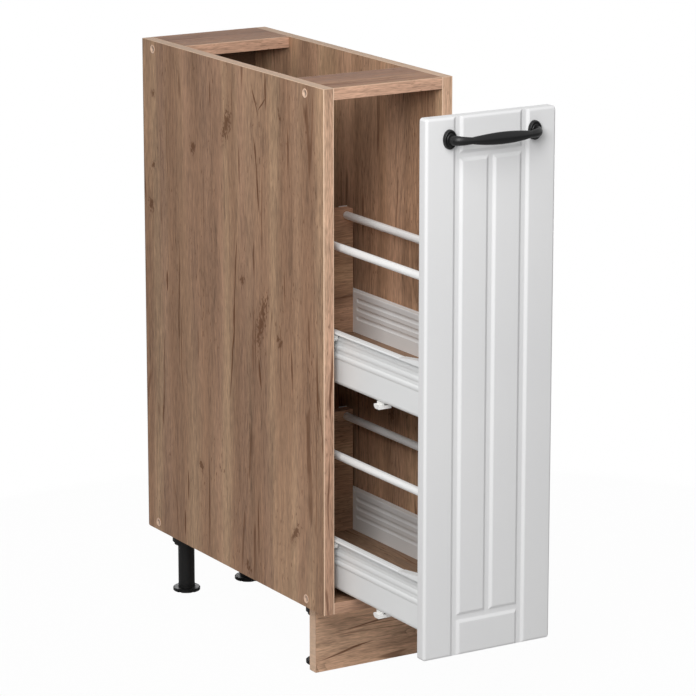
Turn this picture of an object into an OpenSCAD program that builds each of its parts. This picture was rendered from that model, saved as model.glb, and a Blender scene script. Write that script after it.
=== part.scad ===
// Narrow two-tier pull-out base cabinet.
// A 200 mm carcass of chipboard holds two steel-sided roller drawers, one above the
// other. Both are screwed to one tall milled front, so they run out together.
// X is across the cabinet, Y runs from the carcass's front edge to the wall, and
// Z is up from the floor. The drawers are drawn part of the way out.

/* [Carcass] */
// Overall width of the cabinet
cabinet_w = 200; // [190:1:300]
// Height of the carcass sides
side_h = 720; // [700:1:900]
// Depth of the carcass sides
cabinet_d = 500; // [495:1:580]
// Thickness of the oak-faced chipboard
board_t = 16; // [15:0.5:19]
// Depth of each stretcher under the worktop
stretcher_d = 96; // [80:1:120]
// Thickness of the fibreboard back
back_t = 3; // [2.5:0.1:4]
// How far the back stays inside the carcass's outline
back_margin = 1; // [0.5:0.5:3]
// Thickness of the edge banding
band_t = 0.8; // [0.4:0.1:1.2]

/* [Carcass screws] */
// Length of a confirmat screw
confirmat_l = 50; // [45:1:60]
// Diameter of its thread
confirmat_d = 5; // [4.5:0.1:5.5]
// Diameter of its neck
confirmat_neck_d = 6.8; // [6:0.1:7]
// Diameter of its head
confirmat_head_d = 9.6; // [9:0.1:11]
// Screw axis from the top and bottom edges of the sides
confirmat_edge = 12; // [10:0.5:13]
// Screw axis from the front edge of the sides
confirmat_front = 47; // [35:1:70]
// Screw axis from the rear edge of the sides
confirmat_rear = 30; // [20:1:60]
// Diameter of a cover cap
cap_d = 13; // [12:0.5:16]
// How far a cover cap stands proud
cap_proud = 0.9; // [0.6:0.1:1.5]

/* [Legs] */
// Height of the carcass above the floor
leg_h = 100; // [95:1:150]
// Diameter of the leg's tube
leg_d = 24; // [22:0.5:28]
// Leg axis from the cabinet's outer side
leg_side = 48; // [45:1:60]
// Leg axis from the carcass's front edge
leg_front = 91; // [88:1:120]
// Leg axis from the carcass's rear edge
leg_rear = 24; // [24:1:60]
// Diameter of the socket that holds the tube
socket_d = 40; // [36:1:42]
// Height of the socket
socket_h = 24.5; // [20:0.5:30]
// Width of the socket's square plate
socket_plate_w = 46; // [44:1:48]
// Thickness of the socket's plate
socket_plate_t = 4; // [3:0.5:5]
// Diameter of the levelling foot
foot_d = 40; // [36:1:44]
// Thickness of the foot's disc
foot_t = 5; // [4:0.5:7]
// Height of the foot's hub above the floor
foot_hub_h = 8; // [7:0.5:12]
// Lobes round the foot, for turning it by hand
foot_lobes = 6; // [5:1:8]
// Diameter of the foot's threaded stem
stem_d = 10; // [8:0.5:12]
// Height of the stem's top above the floor
stem_top = 56; // [50:1:65]

/* [Plinth] */
// Plinth face from the carcass's front edge
plinth_setback = 50; // [40:1:52]
// Gap between the plinth and the floor
plinth_gap = 2; // [1:0.5:4]
// Height of the plinth clips above the floor
clip_z = 44; // [40:1:55]
// Width of a plinth clip's plate
clip_plate_w = 30; // [28:1:36]

/* [Front] */
// Thickness of the front
door_t = 16; // [16:0.5:22]
// Gap between the front and the cabinet's outline at each side
door_side_gap = 2; // [1.5:0.5:4]
// Gap above the front
door_top_gap = 2; // [1:0.5:6]
// Gap below the front
door_bottom_gap = 7; // [1:0.5:10]
// Radius of the front's outer edges
door_edge_r = 4; // [2:0.5:5]
// Width of a milled groove at the face
groove_w = 15; // [12:0.5:18]
// Depth of a milled groove
groove_depth = 2.6; // [1.5:0.1:4]
// Distance between the upright grooves
groove_pitch = 50; // [44:1:54]
// Cross grooves from the front's top and bottom edges
groove_end = 51; // [46:1:120]

/* [Handle] */
// Distance between the handle's screws
handle_centres = 128; // [96:32:128]
// Handle axis below the front's top edge
handle_drop = 28; // [24:0.5:30]
// How far the bar's axis stands off the front
handle_reach = 26; // [22:1:34]
// Height of the bar at its middle
bar_h = 15; // [12:0.5:18]
// Height of the bar where the arms meet it
neck_h = 8.5; // [7:0.5:10]
// Depth of the bar at its middle
bar_depth = 9; // [7:0.5:10]
// Width of a rosette
rosette_w = 19; // [17:0.5:22]
// Height of a rosette
rosette_h = 25.5; // [22:0.5:28]
// Thickness of a rosette
rosette_t = 5; // [4:0.5:6]

/* [Drawers] */
// Length of the drawer sides
drawer_l = 450; // [430:1:460]
// Underside of the lower drawer above the carcass's bottom panel
lower_clear = 11; // [10.5:0.5:30]
// Distance between the two drawers
drawer_pitch = 288; // [256:32:320]
// Distance of the front's back face from the carcass, as drawn
drawn_out = 231; // [10:1:320]
// Height of the steel side
steel_h = 76; // [76:1:90]
// How much the side rises at the front
nose_rise = 9; // [4:0.5:14]
// Length of the rising nose
nose_l = 76; // [60:1:120]
// Thickness of the steel
sheet_t = 1.2; // [1:0.1:1.3]
// Carcass wall to the drawer's inner face
wall_gap = 15.5; // [15.5:0.1:16]
// Width of the rolled top edge, on which the drawer runs
track_w = 11.5; // [11.3:0.1:11.5]
// Depth of the lip along the track
lip_h = 2.4; // [2:0.1:2.4]
// Radius of the bend under the side
bend_r = 6; // [3:0.5:8]
// Width of the flange that carries the floor
flange_w = 20; // [18:1:30]
// Height of the lowest pressed rib above the side's underside
rib_z = 39.5; // [38:0.5:40]
// Distance between the ribs
rib_pitch = 12.5; // [11:0.5:12.5]
// Height of a rib
rib_w = 8; // [6:0.5:9]
// How far a rib is pressed out
rib_out = 1.4; // [0.8:0.1:1.5]
// Rib ends from the ends of the side
rib_end = 29; // [26:1:60]
// Height of the drawer's back above the floor panel
drawer_back_h = 176; // [120:1:200]
// Floor clips from the front's back face
floor_clip_at = 137; // [80:1:200]
// How far a floor clip hangs below the side
floor_clip_h = 9; // [7:0.5:9.5]

/* [Gallery rails] */
// Diameter of a rail
rail_d = 11; // [9:0.5:12]
// Wall of a rail
rail_wall = 1; // [0.8:0.1:1.5]
// Rail axis above the side's underside
rail_z = 184.5; // [184:0.5:185]
// Rail axis from the drawer's inner face
rail_inset = 10.4; // [9:0.1:14]

/* [Runners] */
// Length of a runner
runner_l = 450; // [446:1:470]
// Setback of a runner from the carcass's front edge
runner_setback = 6; // [4:0.5:8]
// Diameter of a carcass roller
roller_d = 13; // [12:0.1:13.2]
// Diameter of a drawer roller
tail_roller_d = 12.4; // [11.6:0.1:12.6]
// Width of the rollers
roller_w = 6; // [5:0.1:6.2]
// Diameter of the roller pins
pin_d = 4; // [3:0.1:5]
// Radial running clearance of a roller on its pin
pin_clear = 0.06; // [0.03:0.01:0.1]
// Clearance between a roller and the track
run_clear = 0.2; // [0.1:0.05:0.4]
// Carcass roller axis from the carcass's front edge
roller_y = 14.7; // [13:0.1:18]
// Drawer roller axis from the rear end of the drawer
tail_roller_y = 9; // [8:0.5:14]

/* [Hidden] */
$fn = 48;

oak = "#A3866E";
banding = "#C4A285";
fibreboard = "#B59A78";
steel_white = "#E4E2DE";
zinc = "#BFC3C6";
front_white = "#F1F1F0";
black = "#242426";
nylon = "#F4F3EF";

// Small fit shared by all seated pieces
seat_clear = 0.1;
cut = 1;

// Carcass
half_w = cabinet_w / 2;
inner_half = half_w - board_t;
base_top = leg_h + board_t;
top_z = leg_h + side_h;
confirmat_ys = [confirmat_front, cabinet_d - confirmat_rear];
confirmat_zs = [leg_h + confirmat_edge, top_z - confirmat_edge];
head_recess = 0.8;
head_t = 3;
socket_key_d = 5;
socket_key_depth = 2.4;
nail_d = 1.4;
nail_l = 15;
nail_head_d = 4;
nail_head_t = 0.6;
runner_screw_d = 3.6;
runner_screw_l = 12.5;

// Legs and plinth
leg_x = half_w - leg_side;
leg_ys = [leg_front, cabinet_d - leg_rear];
tube_start = foot_hub_h + 0.3;
socket_step = 4.5;
socket_neck_d = 34.6;
leg_screw_at = socket_plate_w / 2 - 6;
leg_screw_d = 3;
leg_screw_l = 12;
plinth_top = leg_h - 0.5;

// Front and handle
door_half = half_w - door_side_gap;
door_z0 = leg_h + door_bottom_gap;
door_z1 = top_z - door_top_gap;
door_back_y = -drawn_out;
door_face_y = door_back_y - door_t;
handle_z = door_z1 - handle_drop;
handle_screw_d = 4;
bumper_t = 1.7;

// Drawers: places are measured from the underside of each drawer's steel sides
lower_z = base_top + lower_clear;
drawer_zs = [lower_z + drawer_pitch, lower_z];
drawer_half = inner_half - wall_gap;
web_out = drawer_half + sheet_t;
drawer_rear_y = door_back_y + drawer_l;
floor_top = sheet_t + board_t;
drawer_back_y = drawer_rear_y - board_t;
drawer_back_top = floor_top + drawer_back_h;
floor_screw_inset = 12;
floor_screw_end = 60;
rear_screw_inset = 6;
rear_screw_low = 20;
rear_screw_high = drawer_back_h - 58;
track_out = drawer_half + track_w;
track_under = steel_h - sheet_t;
groove_x = track_out - 4.5;
roll_r = 1.8;
nose_y = door_back_y + nose_l;
rib_r = (rib_out * rib_out + rib_w * rib_w / 4) / (2 * rib_out);
rib_x = web_out + rib_out - rib_r;

// Runners
roller_z = track_under - run_clear - roller_d / 2;
channel_top = steel_h - lip_h - sheet_t;
channel_under = channel_top - sheet_t;
tail_roller_z = channel_under - 2 * run_clear - tail_roller_d / 2;
channel_floor = tail_roller_z - tail_roller_d / 2 - run_clear;
web_low = channel_floor - 22;
runner_reach = wall_gap - sheet_t - 1;
channel_start = roller_y + roller_d / 2 + 2;
runner_end = runner_setback + runner_l;
runner_screw_z = channel_floor - 12;
runner_screw_ys = [37, 229, 421];
slot_at = 80;
slot_l = 14;
slot_h = 4;
tail_roller_at = drawer_rear_y - tail_roller_y;

// Placing helpers: shapes are drawn for the left side and mirrored for the right
module side(right) { mirror([right ? 1 : 0, 0, 0]) children(); }
module both_sides() { for (right = [false, true]) side(right) children(); }
module along_x(x0, x1) { translate([x0, 0, 0]) rotate([90, 0, 90]) linear_extrude(x1 - x0) children(); }
module along_y(y0, y1) { translate([0, y1, 0]) rotate([90, 0, 0]) linear_extrude(y1 - y0) children(); }
module box(low, high) { translate(low) cube(high - low); }
module rod_x(x0, x1, d) { translate([x0, 0, 0]) rotate([0, 90, 0]) cylinder(h = x1 - x0, d = d); }
module rod_y(y0, y1, d) { translate([0, y0, 0]) rotate([-90, 0, 0]) cylinder(h = y1 - y0, d = d); }
module rod_z(z0, z1, d) { translate([0, 0, z0]) cylinder(h = z1 - z0, d = d); }

// Carcass
module confirmat_axes() {
    for (y = confirmat_ys, z = confirmat_zs) translate([-half_w, y, z]) children();
}

module confirmat_hole() {
    rod_x(-cut, head_recess + head_t, confirmat_head_d + 2 * seat_clear);
    rod_x(-cut, board_t + cut, confirmat_neck_d + 2 * seat_clear);
    rod_x(-cut, confirmat_l + cut, confirmat_d + seat_clear);
}

module runner_screw_axes() {
    for (z = drawer_zs, y = runner_screw_ys)
        translate([-inner_half, y, z + runner_screw_z]) children();
}

module carcass_side() {
    color(oak) difference() {
        box([-half_w, band_t, leg_h], [-inner_half, cabinet_d, top_z - band_t]);
        confirmat_axes() confirmat_hole();
        runner_screw_axes() rod_x(-runner_screw_l - seat_clear, cut, runner_screw_d + 2 * seat_clear);
        back_nail_axes() rod_y(-nail_l, cut, nail_d + seat_clear);
    }
}

module cross_board(y0, y1, z0) {
    color(oak) difference() {
        box([-inner_half, y0, z0], [inner_half, y1, z0 + board_t]);
        both_sides() confirmat_axes() confirmat_hole();
        both_sides() for (y = leg_ys) leg_screw_axes(y)
            rod_z(-cut, leg_screw_l + seat_clear, leg_screw_d + seat_clear);
    }
}

module bottom_panel() { cross_board(band_t, cabinet_d, leg_h); }
module stretcher_front() { cross_board(band_t, stretcher_d - band_t, top_z - board_t); }
module stretcher_rear() { cross_board(cabinet_d - stretcher_d + band_t, cabinet_d, top_z - board_t); }

module back_nail_axes() {
    for (k = [0:4]) {
        z = leg_h + 30 + k * (side_h - 60) / 4;
        translate([-half_w + board_t / 2, cabinet_d, z]) children();
    }
}

module back_panel() {
    color(fibreboard) difference() {
        box([-half_w + back_margin, cabinet_d, leg_h + back_margin],
            [half_w - back_margin, cabinet_d + back_t, top_z - back_margin]);
        both_sides() back_nail_axes() {
            rod_y(-cut, back_t + cut, nail_d + seat_clear);
            rod_y(back_t - nail_head_t - seat_clear, back_t + cut, nail_head_d + seat_clear);
        }
    }
}

// The nails' heads are driven flush with the back
module back_nails() {
    color(zinc) both_sides() back_nail_axes() {
        rod_y(1 - nail_l, back_t, nail_d);
        rod_y(back_t - nail_head_t, back_t, nail_head_d);
    }
}

module edge_banding() {
    color(banding) {
        both_sides() {
            box([-half_w, 0, leg_h], [-inner_half, band_t, top_z]);
            box([-half_w, band_t, top_z - band_t], [-inner_half, cabinet_d, top_z]);
        }
        for (z = [leg_h, top_z - board_t])
            box([-inner_half, 0, z], [inner_half, band_t, z + board_t]);
        for (y = [stretcher_d - band_t, cabinet_d - stretcher_d])
            box([-inner_half, y, top_z - board_t], [inner_half, y + band_t, top_z]);
        both_sides() box([-inner_half, plinth_setback, plinth_gap],
                         [-inner_half + band_t, plinth_setback + board_t, plinth_top]);
    }
}

module confirmat_screws() {
    color(zinc) both_sides() confirmat_axes() difference() {
        union() {
            rod_x(head_recess, head_recess + head_t - seat_clear, confirmat_head_d);
            rod_x(head_recess, board_t - 1, confirmat_neck_d);
            rod_x(head_recess, confirmat_l, confirmat_d);
        }
        translate([head_recess - cut, 0, 0]) rotate([0, 90, 0])
            cylinder(h = socket_key_depth + cut, d = socket_key_d, $fn = 6);
    }
}

// Moulded cover cap: a dished disc with a stem in the screw's key socket
module screw_caps() {
    cap_r = cap_d / 2;
    color(banding) both_sides() confirmat_axes() rotate([0, -90, 0]) {
        rotate_extrude() polygon([
            [0, 0], [cap_r, 0], [cap_r, cap_proud * 0.45], [cap_r - 0.35, cap_proud * 0.85],
            [cap_r - 0.9, cap_proud], [cap_r - 1.5, cap_proud * 0.9], [cap_r - 2.4, cap_proud * 0.55],
            [0, cap_proud * 0.55]
        ]);
        rod_z(-head_recess - socket_key_depth + 0.3, 0, socket_key_d * 0.72);
    }
}

// Carcass runners: a rolled channel, open towards the drawer, with a roller at its front
module runner_section() {
    translate([0, web_low]) square([sheet_t, channel_top - web_low]);
    translate([0, channel_floor - sheet_t]) square([runner_reach, sheet_t]);
    translate([0, channel_under]) square([runner_reach, sheet_t]);
    translate([runner_reach - sheet_t, channel_under - 1.6]) square([sheet_t, 1.6]);
}

module runner(level, right) {
    tab_r = roller_d / 2 - 0.3;
    color(steel_white) side(right) translate([-inner_half, 0, drawer_zs[level]]) difference() {
        union() {
            along_y(channel_start, runner_end) runner_section();
            along_x(0, sheet_t) {
                translate([runner_setback + 4, web_low + 4])
                    square([channel_start - runner_setback - 4, channel_top - web_low - 4]);
                translate([runner_setback, web_low + 4])
                    square([4, roller_z - web_low - 4]);
                translate([runner_setback + 4, web_low + 4]) circle(4);
                translate([runner_setback + 4, web_low]) square([channel_start - runner_setback - 4, 4]);
                translate([roller_y, roller_z]) circle(tab_r + 1);
            }
            along_x(0, runner_reach) translate([runner_end - sheet_t, channel_floor - sheet_t])
                square([sheet_t, channel_top - channel_floor + sheet_t]);
        }
        translate([0, roller_y, roller_z]) rod_x(-cut, sheet_t + cut, pin_d + seat_clear);
        for (y = runner_screw_ys) translate([0, y, runner_screw_z])
            rod_x(-cut, sheet_t + cut, 4.2);
        for (y = [runner_screw_ys[0], runner_screw_ys[1]])
            along_x(-cut, sheet_t + cut) translate([y + slot_at, runner_screw_z - slot_h / 2])
                square([slot_l, slot_h]);
    }
}

// Nylon roller with a groove round its middle that the track's bead runs in
module roller_body(d, w) {
    edge = 0.6;
    groove_deep = 1;
    rotate([0, 90, 0]) translate([0, 0, -w / 2]) rotate_extrude() polygon([
        [pin_d / 2 + pin_clear, 0], [d / 2 - edge, 0], [d / 2, edge],
        [d / 2, w / 2 - 1.1], [d / 2 - groove_deep, w / 2 - 0.2],
        [d / 2 - groove_deep, w / 2 + 0.2], [d / 2, w / 2 + 1.1],
        [d / 2, w - edge], [d / 2 - edge, w], [pin_d / 2 + pin_clear, w]
    ]);
}

tail_roller_x = runner_reach - sheet_t - 0.3 - roller_w / 2;

module runner_roller(level, right) {
    color(nylon) side(right)
        translate([-groove_x, roller_y, drawer_zs[level] + roller_z]) roller_body(roller_d, roller_w);
}

module runner_pins() {
    head = groove_x - roller_w / 2;
    color(zinc) both_sides() for (z = drawer_zs) translate([0, roller_y, z + roller_z]) {
        rod_x(-inner_half + 0.05, -head + 0.3, pin_d);
        rod_x(-head + 0.1, -head + 0.8, pin_d + 2.4);
        rod_x(-inner_half + sheet_t, -groove_x - roller_w / 2 - 0.15, pin_d + 2.4);
    }
}

module runner_screws() {
    color(zinc) both_sides() runner_screw_axes() {
        rod_x(-runner_screw_l, sheet_t + 1, runner_screw_d);
        rod_x(sheet_t, sheet_t + 1.8, 7);
    }
}

// Levelling legs
module leg_axis(right, y) { side(right) translate([-leg_x, y, 0]) children(); }
module leg_screw_axes(y) {
    for (i = [-1, 1], j = [-1, 1])
        translate([-leg_x + i * leg_screw_at, y + j * leg_screw_at, leg_h]) children();
}

module leg(right, y) {
    color(black) leg_axis(right, y) difference() {
        union() {
            rod_z(tube_start, leg_h - socket_plate_t, leg_d);
            rod_z(tube_start, tube_start + 1.2, leg_d + 1);
        }
        rod_z(tube_start - cut, stem_top + 4, stem_d + 2 * seat_clear);
    }
}

module leg_sockets() {
    color(black) both_sides() for (y = leg_ys) translate([-leg_x, y, 0]) difference() {
        union() {
            translate([-socket_plate_w / 2, -socket_plate_w / 2, leg_h - socket_plate_t])
                cube([socket_plate_w, socket_plate_w, socket_plate_t]);
            rod_z(leg_h - socket_h, leg_h, socket_d);
            rod_z(leg_h - socket_h - socket_step, leg_h, socket_neck_d);
        }
        rod_z(0, leg_h - socket_plate_t, leg_d + 2 * seat_clear);
        for (i = [-1, 1], j = [-1, 1])
            translate([i * leg_screw_at, j * leg_screw_at, 0]) rod_z(0, leg_h + cut, 4.2);
    }
}

module leg_screws() {
    color(zinc) both_sides() for (y = leg_ys) leg_screw_axes(y) {
        rod_z(-socket_plate_t - 1, leg_screw_l, leg_screw_d);
        rod_z(-socket_plate_t - 2, -socket_plate_t, 6.4);
    }
}

module foot(right, y) {
    notch_d = 5;
    color(black) leg_axis(right, y) difference() {
        union() {
            rod_z(0, 0.8, foot_d - 1.6);
            rod_z(0.8, foot_t - 1, foot_d);
            rod_z(foot_t - 1, foot_t, foot_d - 2);
            rod_z(0, foot_hub_h, leg_d + 1);
            rod_z(0, stem_top, stem_d);
        }
        for (k = [0:foot_lobes - 1]) rotate([0, 0, (k + 0.5) * 360 / foot_lobes])
            translate([foot_d / 2 + 0.4, 0, 0]) rod_z(-cut, foot_t + cut, notch_d);
    }
}

// Plinth and the clips that snap it on the front legs
module plinth() {
    color(oak) box([-inner_half + band_t, plinth_setback, plinth_gap],
                   [inner_half - band_t, plinth_setback + board_t, plinth_top]);
}

module plinth_clips() {
    back_y = plinth_setback + board_t;
    ring_wall = 2.4;
    ring_h = 14;
    plate_t = 3;
    ring_d = leg_d + 2 * seat_clear;
    color(black) both_sides() translate([-leg_x, 0, clip_z]) difference() {
        union() {
            box([-clip_plate_w / 2, back_y, -ring_h], [clip_plate_w / 2, back_y + plate_t, ring_h]);
            box([-4, back_y, -ring_h / 2], [4, leg_front - leg_d / 2, ring_h / 2]);
            translate([0, leg_front, 0]) rod_z(-ring_h / 2, ring_h / 2, ring_d + 2 * ring_wall);
        }
        translate([0, leg_front, 0]) {
            rod_z(-ring_h, ring_h, ring_d);
            linear_extrude(4 * ring_h, center = true)
                polygon([[0, 0], [leg_d * 1.1, leg_d * 0.9], [leg_d * 1.1, 2 * leg_d],
                         [-leg_d * 1.1, 2 * leg_d], [-leg_d * 1.1, leg_d * 0.9]]);
        }
    }
}

// Front: one board with a rounded rim and milled grooves
module groove_cut(l) {
    bottom_w = groove_w - 2 * groove_depth;
    translate([0, 0, -l / 2]) linear_extrude(l) polygon([
        [-groove_w / 2 - cut, -cut], [groove_w / 2 + cut, -cut],
        [bottom_w / 2, groove_depth], [-bottom_w / 2, groove_depth]
    ]);
}

module rounded_bar_section(half, depth, r) {
    difference() {
        translate([-half, 0]) square([2 * half, depth]);
        for (s = [-1, 1]) translate([s * (half - r), r]) difference() {
            translate([s > 0 ? 0 : -2 * r, -2 * r]) square([2 * r, 2 * r]);
            circle(r);
        }
    }
}

module door() {
    half_h = (door_z1 - door_z0) / 2;
    cross_l = 2 * groove_pitch;
    middle_l = 2 * (half_h - groove_end);
    color(front_white) translate([0, door_face_y, door_z0 + half_h]) difference() {
        intersection() {
            translate([0, 0, -half_h]) linear_extrude(2 * half_h)
                rounded_bar_section(door_half, door_t, door_edge_r);
            rotate([0, 90, 0]) translate([0, 0, -door_half]) linear_extrude(2 * door_half)
                rounded_bar_section(half_h, door_t, door_edge_r);
            rotate([-90, 0, 0]) linear_extrude(door_t) difference() {
                square([2 * door_half, 2 * half_h], center = true);
                for (i = [-1, 1], j = [-1, 1])
                    translate([i * (door_half - door_edge_r), j * (half_h - door_edge_r)]) difference() {
                        translate([i > 0 ? 0 : -2 * door_edge_r, j > 0 ? 0 : -2 * door_edge_r])
                            square(2 * door_edge_r);
                        circle(door_edge_r);
                    }
            }
        }
        for (i = [-1, 1]) translate([i * groove_pitch, 0, 0]) groove_cut(2 * half_h + 2 * cut);
        for (j = [-1, 1]) translate([0, 0, j * (half_h - groove_end)])
            rotate([0, 90, 0]) groove_cut(cross_l);
        groove_cut(middle_l);
        for (i = [-1, 1]) translate([i * handle_centres / 2, 0, handle_z - door_z0 - half_h])
            rod_y(-cut, door_t + cut, handle_screw_d + 0.6);
        translate([0, -door_face_y, -door_z0 - half_h]) door_screw_axes() rod_y(-11, cut, 3);
    }
}

module door_screw_axes() {
    both_sides() for (z = drawer_zs, dz = [30, 60])
        translate([-drawer_half + 11, door_back_y, z + dz]) children();
}

module door_bumpers() {
    inset = 15;
    color(nylon) both_sides() for (z = [door_z0 + inset, door_z1 - inset])
        translate([-half_w + board_t / 2, 0, z]) {
            rod_y(door_back_y, door_back_y + bumper_t - 0.5, 8);
            rod_y(door_back_y, door_back_y + bumper_t, 6.6);
        }
}

// Handle: a cast bow in one piece. Its leaf-shaped bar turns at two necks into the arms, and
// each arm grows out of a dished oval rosette. Along the bow, u runs from -1 to 1
handle_half = handle_centres / 2;
neck_x = handle_half - 20;
arm_foot = rosette_t * 0.76;
function arm_share(x) = max(0, (abs(x) - neck_x) / (handle_half - neck_x));
function bar_half_h(x) = abs(x) < neck_x
    ? neck_h / 2 + (bar_h - neck_h) / 2 * pow(cos(90 * x / neck_x), 0.9)
    : neck_h / 2 + 1.6 * pow(arm_share(x), 1.5);
function bar_half_depth(x) = abs(x) < neck_x
    ? 3.3 + (bar_depth / 2 - 3.3) * cos(90 * x / neck_x)
    : 3.3 + 1.5 * arm_share(x);
function bow_turn(u) = 90 * pow(abs(u), 1.5);
function bow_x(u) = sign(u) * handle_half * pow(sin(bow_turn(u)), 2 / 3);
function bow_out(u) = (handle_reach - arm_foot) * pow(max(0, cos(bow_turn(u))), 2 / 3);
function bow_tilt(u) = -sign(u) * atan2(
    (handle_reach - arm_foot) * pow(bow_x(u) / handle_half, 2),
    handle_half * pow(bow_out(u) / (handle_reach - arm_foot), 2));
function bar_ring(u, sides) = let (x = bow_x(u), y = arm_foot + bow_out(u), tilt = bow_tilt(u)) [
    for (k = [0:sides - 1]) let (a = 360 * k / sides, d = bar_half_depth(x) * cos(a))
        [x - d * sin(tilt), -y - d * cos(tilt), bar_half_h(x) * sin(a)]
];
function rosette_ring(s, y, share, sides) = [
    for (k = [0:sides - 1]) let (a = 360 * k / sides)
        [s * (handle_half + rosette_w / 2 * share * cos(a)), -y, rosette_h / 2 * share * sin(a)]
];

module loft(rings) {
    sides = len(rings[0]);
    last = len(rings) - 1;
    walls = [for (i = [0:last - 1], k = [0:sides - 1]) let (m = (k + 1) % sides) each [
        [i * sides + k, i * sides + m, (i + 1) * sides + m],
        [i * sides + k, (i + 1) * sides + m, (i + 1) * sides + k]
    ]];
    start = [for (k = [1:sides - 2]) [0, k + 1, k]];
    end = [for (k = [1:sides - 2]) [last * sides, last * sides + k, last * sides + k + 1]];
    polyhedron([for (r = rings) each r], concat(walls, start, end));
}

module handle() {
    steps = 16;
    sides = 20;
    rim = [[0, 1], [0.4, 1], [0.75, 0.97], [0.94, 0.92], [1, 0.86], [0.92, 0.79], [0.76, 0.72]];
    foot = [for (p = rim) [p[0] * rosette_t, p[1]]];
    color(black) translate([0, door_face_y, handle_z]) difference() {
        loft(concat(
            [for (p = foot) rosette_ring(-1, p[0], p[1], sides)],
            [for (i = [-steps:steps]) bar_ring(i / steps, sides)],
            [for (i = [len(foot) - 1:-1:0]) rosette_ring(1, foot[i][0], foot[i][1], sides)]));
        for (s = [-1, 1]) translate([s * handle_half, 0, 0])
            rod_y(-4, cut, handle_screw_d + seat_clear);
    }
}

module handle_screws() {
    color(zinc) for (s = [-1, 1]) translate([s * handle_centres / 2, 0, handle_z]) {
        rod_y(door_face_y - 3.8, door_back_y + 1, handle_screw_d);
        rod_y(door_back_y, door_back_y + 2.2, 8);
    }
}

// Drawer side: one steel sheet, rolled outwards along its top to a track with a guide
// bead, ribbed along its length and turned in below to carry the floor
module quarter_ring(r, from) {
    intersection() {
        difference() {
            circle(r);
            circle(r - sheet_t);
        }
        rotate([0, 0, from]) square(2 * r);
    }
}

module steel_section() {
    bead = 0.6;
    difference() {
        union() {
            translate([-web_out, bend_r]) square([sheet_t, steel_h - roll_r - bend_r]);
            translate([-web_out + bend_r, bend_r]) quarter_ring(bend_r, 180);
            translate([-web_out + bend_r, 0])
                square([flange_w + sheet_t - bend_r, sheet_t]);
            translate([-drawer_half - roll_r, steel_h - roll_r]) quarter_ring(roll_r, 0);
            translate([-track_out + roll_r, track_under])
                square([track_w - 2 * roll_r, sheet_t]);
            translate([-track_out + roll_r, steel_h - roll_r]) quarter_ring(roll_r, 90);
            translate([-track_out, steel_h - lip_h]) square([sheet_t, lip_h - roll_r]);
            polygon([[-groove_x - 0.8, track_under], [-groove_x, track_under - bead],
                     [-groove_x + 0.8, track_under]]);
        }
        polygon([[-groove_x - 0.9, steel_h + 0.1], [-groove_x, steel_h - bead],
                 [-groove_x + 0.9, steel_h + 0.1]]);
    }
}

module steel_nose() {
    slope = [[nose_y, steel_h], [door_back_y, steel_h + nose_rise]];
    along_x(-web_out, -drawer_half) polygon([
        slope[0], slope[1], [door_back_y, track_under], [nose_y, track_under]]);
    along_x(-track_out, -track_out + sheet_t) polygon([
        slope[0], slope[1], [door_back_y, steel_h - lip_h], [nose_y, steel_h - lip_h]]);
    along_x(-track_out, -drawer_half) polygon([
        slope[0], slope[1], slope[1] - [0, sheet_t], slope[0] - [0, sheet_t]]);
}

module rib_capsule(z, r) {
    y0 = door_back_y + rib_end;
    y1 = drawer_rear_y - rib_end;
    translate([-rib_x, 0, z]) {
        rod_y(y0, y1, 2 * r);
        for (y = [y0, y1]) translate([0, y, 0]) sphere(r);
    }
}

module drawer_side(level, right) {
    rib_zs = [for (k = [0:2]) rib_z + k * rib_pitch];
    color(steel_white) side(right) translate([0, 0, drawer_zs[level]]) difference() {
        union() {
            along_y(door_back_y, drawer_rear_y) steel_section();
            steel_nose();
            intersection() {
                for (z = rib_zs) rib_capsule(z, rib_r);
                box([-web_out - rib_out - cut, door_back_y, 0], [-drawer_half, drawer_rear_y, steel_h]);
            }
        }
        for (z = rib_zs) rib_capsule(z, rib_r - sheet_t);
        translate([0, tail_roller_at, tail_roller_z])
            rod_x(-web_out - cut, -drawer_half + cut, pin_d + seat_clear);
        floor_screw_axes() rod_z(-cut, sheet_t + cut, 4);
    }
}

module floor_screw_axes() {
    step = (drawer_l - 2 * floor_screw_end) / 2;
    for (k = [0:2])
        translate([-drawer_half + floor_screw_inset, door_back_y + floor_screw_end + k * step, 0])
            children();
}

module drawer_floor(level) {
    corner = bend_r - sheet_t + 0.2;
    color(oak) translate([0, 0, drawer_zs[level]]) difference() {
        along_y(door_back_y + 2, drawer_rear_y) difference() {
            translate([-drawer_half, sheet_t]) square([2 * drawer_half, board_t]);
            for (s = [-1, 1]) translate([s * (drawer_half - corner), sheet_t + corner]) difference() {
                translate([s > 0 ? 0 : -2 * corner, -2 * corner]) square(2 * corner);
                circle(corner);
            }
        }
        both_sides() floor_screw_axes() rod_z(0, 13, 3);
    }
}

module drawer_back(level) {
    color(oak) translate([0, 0, drawer_zs[level]]) difference() {
        box([-drawer_half, drawer_back_y, floor_top],
            [drawer_half, drawer_rear_y, drawer_back_top - band_t]);
        both_sides() translate([-drawer_half + rail_inset, 0, rail_z])
            rod_y(drawer_back_y - cut, drawer_rear_y + cut, stud_d + seat_clear);
        both_sides() rear_screw_axes() rod_y(-11, cut, 3);
    }
}

module drawer_banding() {
    color(banding) for (z = drawer_zs)
        box([-drawer_half, drawer_back_y, z + drawer_back_top - band_t],
            [drawer_half, drawer_rear_y, z + drawer_back_top]);
}

// Gallery rails between the front and the drawer's back
stud_d = rail_d - 2 * rail_wall - seat_clear;
rail_socket_t = 3;
stud_l = 14;
bracket_t = 1.5;

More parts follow.
